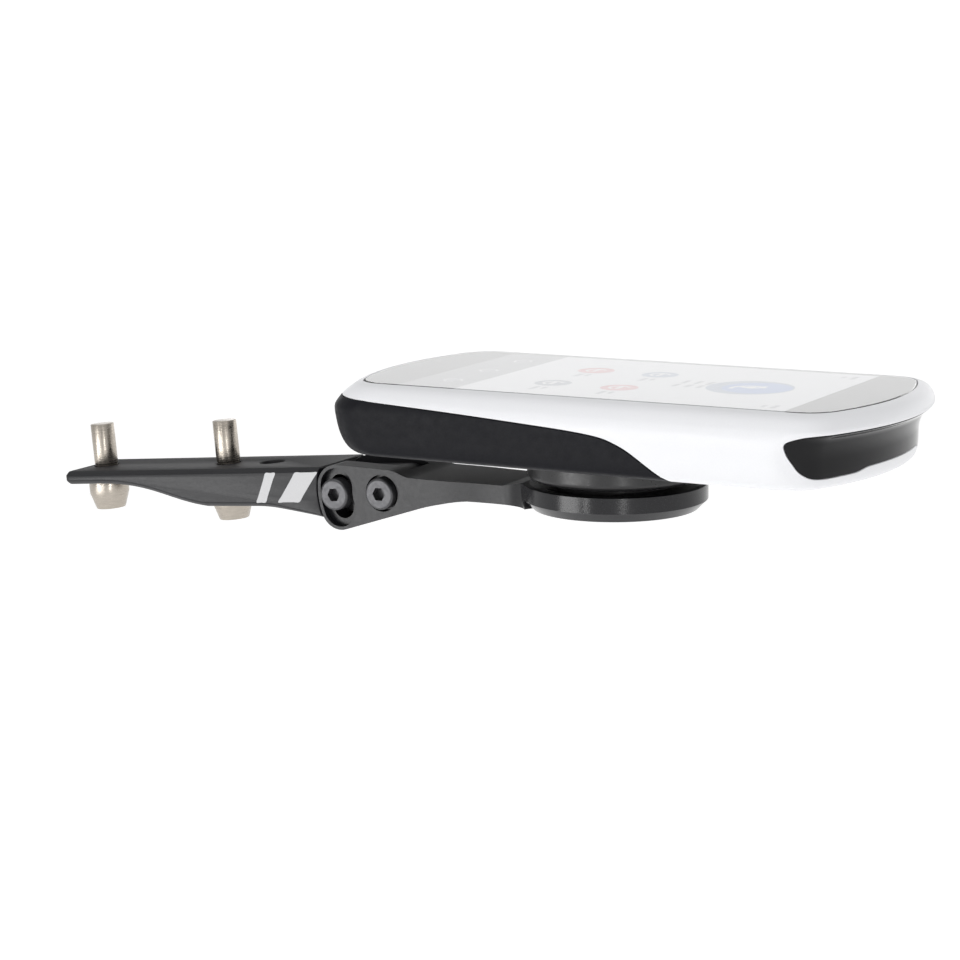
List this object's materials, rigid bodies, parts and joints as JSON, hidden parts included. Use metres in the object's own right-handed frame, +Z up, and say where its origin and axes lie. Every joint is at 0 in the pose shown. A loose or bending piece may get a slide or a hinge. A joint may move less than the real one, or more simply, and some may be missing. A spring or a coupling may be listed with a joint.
{
  "type": "cycling computer",
  "caption": "Touchscreen cycling computer on a tilting out-front mount that bolts under a handlebar stem, with quarter-turn release.",
  "frame": {"origin": "on the stem face of the base plate, midway between the two stem screws", "axes": "+X forward along the base plate, +Y to the rider's left, +Z up and square to the stem face"},
  "size_m": [0.1888, 0.0583, 0.0319],
  "materials": {
    "anodised_black": "satin bead-blasted black anodise",
    "bright_screw": "brushed stainless, slightly warm",
    "black_screw": "black oxide, satin",
    "socket_polymer": "matte moulded",
    "shell_white": "satin-gloss moulded white",
    "case_black": "fine moulded texture",
    "cover_glass": "polished, antireflective",
    "window_gloss": "high gloss black",
    "foot_black": "satin moulded",
    "key_rubber": "matte soft-touch",
    "seal_rubber": "matte silicone",
    "display_layer": "coated film",
    "frame_metal": "rolled",
    "board_green": "solder resist",
    "shield_tin": "tinned steel",
    "chip_black": "moulded epoxy",
    "battery_foil": "foil pouch with tape",
    "ceramic": "fired ceramic",
    "gold_pad": "gold plated",
    "membrane": "porous membrane"
  },
  "bodies": {
    "base": {"base_plate": "anodised_black", "stem_screws": "bright_screw", "lock_screw": "black_screw", "lock_nut": "black_screw"},
    "arm": {"arm": "anodised_black", "ring_insert": "socket_polymer", "insert_screws": "black_screw", "pivot_screw": "black_screw", "pivot_nut": "black_screw"},
    "head_unit": {"backlight": "display_layer", "battery": "battery_foil", "battery_lead": "chip_black", "beeper": "chip_black", "board_chips": "chip_black", "boss_screws": "black_screw", "button_switches": "shield_tin", "card_socket": "shield_tin", "case_gasket": "seal_rubber", "case_screws": "black_screw", "contact_pads": "gold_pad", "cover_glass": "cover_glass", "display_flex": "gold_pad", "display_frame": "frame_metal", "display_panel": "display_layer", "display_seal": "seal_rubber", "front_window": "window_gloss", "gnss_antenna": "ceramic", "light_sensor": "chip_black", "lower_case": "case_black", "main_board": "board_green", "memory_card": "chip_black", "mount_boss": "foot_black", "pressure_sensor": "shield_tin", "shield_cans": "shield_tin", "touch_sensor": "display_layer", "upper_shell": "shell_white", "usb_socket": "shield_tin", "vent_membrane": "membrane", "wireless_antenna": "board_green"},
    "lap_key": {"lap_button": "key_rubber"},
    "start_key": {"start_button": "key_rubber"},
    "power_key": {"power_button": "key_rubber"},
    "port_cover": {"usb_cover": "key_rubber"}
  },
  "joints": [
    {"name": "arm_tilt", "type": "hinge", "parent": "base", "child": "arm", "pos_m": [0.0586, 0, -0.0054], "axis": [0, 1, 0], "range_deg": [-7, 14]},
    {"name": "unit_twist", "type": "hinge", "parent": "arm", "child": "head_unit", "pos_m": [0.10598, 0, -0.00665], "axis": [0.0906, 0, 0.9959], "range_deg": [0, 90]},
    {"name": "lap_press", "type": "slide", "parent": "head_unit", "child": "lap_key", "axis": [0.9959, 0, -0.0906], "range_m": [0, 0.0005], "stiffness_N_per_m": 4000, "springref_m": -0.0002},
    {"name": "start_press", "type": "slide", "parent": "head_unit", "child": "start_key", "axis": [0.9959, 0, -0.0906], "range_m": [0, 0.0005], "stiffness_N_per_m": 4000, "springref_m": -0.0002},
    {"name": "power_press", "type": "slide", "parent": "head_unit", "child": "power_key", "axis": [0, -1, 0], "range_m": [0, 0.0005], "stiffness_N_per_m": 4000, "springref_m": -0.0002},
    {"name": "port_cover_open", "type": "hinge", "parent": "head_unit", "child": "port_cover", "pos_m": [0.07584, 0.015, 0.00469], "axis": [0, -1, 0], "range_deg": [0, 100]}
  ]
}
